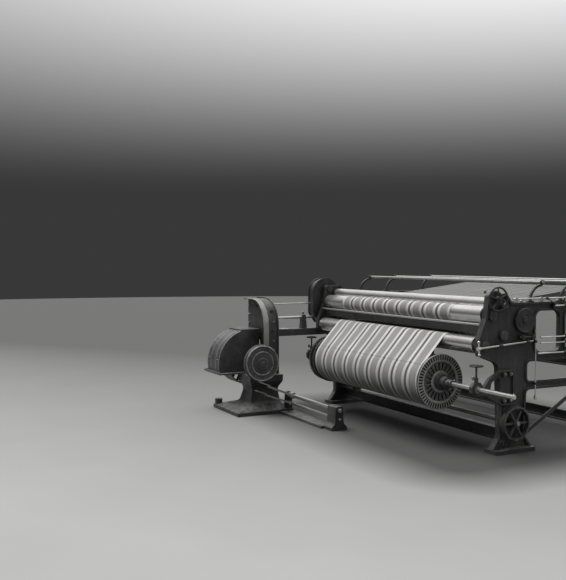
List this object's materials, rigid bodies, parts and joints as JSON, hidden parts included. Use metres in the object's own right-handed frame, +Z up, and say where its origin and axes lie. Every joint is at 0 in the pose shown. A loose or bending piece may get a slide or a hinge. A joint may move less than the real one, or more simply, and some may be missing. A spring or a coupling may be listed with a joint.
{
  "type": "warp sizing machine headstock",
  "caption": "Winding headstock of a textile warp sizing machine: geared warp beam with slotted flanges, drag, top and front rollers, cast side frames and a drive stand.",
  "frame": {"origin": "middle of the machine's plan box, on the floor", "axes": "+X along the rollers towards the free end of the beam shaft, +Y from the beam into the machine, +Z up"},
  "size_m": [3.82, 3.0501, 1.517],
  "materials": {
    "frame_iron": "oily dark cast iron, dusty on ledges",
    "dark_paint": "worn dark machine paint",
    "steel": "bright turned steel, dulled by oil",
    "worn_iron": "handled cast iron",
    "roller_cover": "pale polished roller covering",
    "brass": "dull bearing brass",
    "warp_threads": "sized cotton warp in stripes",
    "barrel_wood": "bare worn wood",
    "sheet_metal": "folded sheet guards, dark and worn"
  },
  "bodies": {
    "frame": {"right_side_frame": "frame_iron", "left_side_frame": "frame_iron", "front_rails": "frame_iron", "rear_rails": "frame_iron", "right_beam_arm": "frame_iron", "left_beam_arm": "frame_iron", "beam_caps": "frame_iron", "beam_bushes": "brass", "roller_bushes": "brass", "breast_board": "dark_paint", "guide_rod": "steel", "comb_rail": "frame_iron", "rod_brackets": "frame_iron", "lease_rods": "steel", "top_rail": "steel", "diagonal_braces": "frame_iron", "disc_cover": "worn_iron", "worm_case": "dark_paint", "pinion_post": "frame_iron", "drive_base": "frame_iron", "drive_bearings": "frame_iron", "pulley_tray": "sheet_metal", "pulley_cover": "sheet_metal", "disc_guard": "dark_paint", "gear_case": "dark_paint", "case_strap": "sheet_metal", "bridge": "worn_iron", "stay_rods": "steel", "foot_block": "frame_iron", "side_brackets": "worn_iron", "fasteners": "worn_iron", "warp_sheet": "warp_threads", "floor_rail": "frame_iron"},
    "warp_beam": {"beam_shaft": "steel", "beam_barrel": "barrel_wood", "right_flange": "worn_iron", "left_flange": "worn_iron", "beam_collars": "worn_iron", "beam_gear": "worn_iron", "wound_warp": "warp_threads"},
    "drag": {"drag_roller": "roller_cover"},
    "top": {"top_roller": "roller_cover", "top_gear": "worn_iron"},
    "front": {"front_roller": "roller_cover"},
    "rear": {"rear_roller": "steel"},
    "hand": {"hand_shaft": "worn_iron", "hand_wheel": "worn_iron"},
    "right_screw": {"right_cap_screw": "steel"},
    "left_screw": {"left_cap_screw": "steel"},
    "control": {"control_rod": "steel"},
    "stop": {"stop_rod": "steel"},
    "comb": {"comb": "steel"},
    "low": {"low_shaft": "steel", "low_wheel": "worn_iron"},
    "pinion": {"beam_pinion": "worn_iron"},
    "drive": {"drive_shaft": "steel", "drive_pulleys": "worn_iron"},
    "side": {"side_shaft": "steel"},
    "pedal": {"foot_pedal": "steel"},
    "release": {"release_pedal": "steel"}
  },
  "joints": [
    {"name": "drag_spin", "type": "hinge", "parent": "frame", "child": "drag", "pos_m": [0, -0.16, 1.21], "axis": [1, 0, 0], "continuous": true},
    {"name": "top_spin", "type": "hinge", "parent": "frame", "child": "top", "pos_m": [0, -0.0547, 1.30316], "axis": [1, 0, 0], "continuous": true},
    {"name": "front_spin", "type": "hinge", "parent": "frame", "child": "front", "pos_m": [0, -0.245, 0.952], "axis": [1, 0, 0], "continuous": true},
    {"name": "rear_spin", "type": "hinge", "parent": "frame", "child": "rear", "pos_m": [0, -0.037, 1.036], "axis": [1, 0, 0], "continuous": true},
    {"name": "beam_spin", "type": "hinge", "parent": "frame", "child": "warp_beam", "pos_m": [0, -0.355, 0.59], "axis": [1, 0, 0], "continuous": true},
    {"name": "pinion_spin", "type": "hinge", "parent": "frame", "child": "pinion", "pos_m": [0, -0.05562, 0.53721], "axis": [1, 0, 0], "continuous": true},
    {"name": "hand_spin", "type": "hinge", "parent": "frame", "child": "hand", "pos_m": [0, -0.14996, 1.35816], "axis": [1, 0, 0], "continuous": true},
    {"name": "low_spin", "type": "hinge", "parent": "frame", "child": "low", "pos_m": [0, 0.071, 0.262], "axis": [1, 0, 0], "continuous": true},
    {"name": "side_spin", "type": "hinge", "parent": "frame", "child": "side", "pos_m": [-1.476, -0.355, 1.03], "axis": [0, 1, 0], "continuous": true},
    {"name": "drive_spin", "type": "hinge", "parent": "frame", "child": "drive", "pos_m": [0, -1.115, 0.52], "axis": [1, 0, 0], "continuous": true},
    {"name": "right_screw_turn", "type": "hinge", "parent": "frame", "child": "right_screw", "pos_m": [1.448, -0.355, 0.7], "axis": [0, 0, 1], "range_deg": [-360, 360]},
    {"name": "left_screw_turn", "type": "hinge", "parent": "frame", "child": "left_screw", "pos_m": [-1.448, -0.355, 0.7], "axis": [0, 0, 1], "range_deg": [-360, 360]},
    {"name": "control_turn", "type": "hinge", "parent": "frame", "child": "control", "pos_m": [1.456, -0.335, 0.936], "axis": [0, 0.9976, 0.0698], "range_deg": [-60, 60]},
    {"name": "stop_slide", "type": "slide", "parent": "frame", "child": "stop", "axis": [0, 0, 1], "range_m": [-0.02, 0.05]},
    {"name": "comb_shift", "type": "slide", "parent": "frame", "child": "comb", "axis": [1, 0, 0], "range_m": [-0.025, 0.025]},
    {"name": "pedal_press", "type": "hinge", "parent": "frame", "child": "pedal", "pos_m": [0, -0.825, 0.2], "axis": [1, 0, 0], "range_deg": [0, 14]},
    {"name": "release_press", "type": "hinge", "parent": "frame", "child": "release", "pos_m": [0, -0.825, 0.11], "axis": [1, 0, 0], "range_deg": [0, 12]}
  ],
  "couplings": [
    {"joint": "top_spin", "follows": "drag_spin", "ratio": -1.3793},
    {"joint": "front_spin", "follows": "drag_spin", "ratio": 1.0667},
    {"joint": "rear_spin", "follows": "drag_spin", "ratio": -1.6667},
    {"joint": "beam_spin", "follows": "drag_spin", "ratio": 0.33333},
    {"joint": "pinion_spin", "follows": "drag_spin", "ratio": -1.25},
    {"joint": "hand_spin", "follows": "drag_spin", "ratio": 0.78818},
    {"joint": "low_spin", "follows": "drag_spin", "ratio": 2},
    {"joint": "side_spin", "follows": "drag_spin", "ratio": 6},
    {"joint": "drive_spin", "follows": "drag_spin", "ratio": 6}
  ]
}
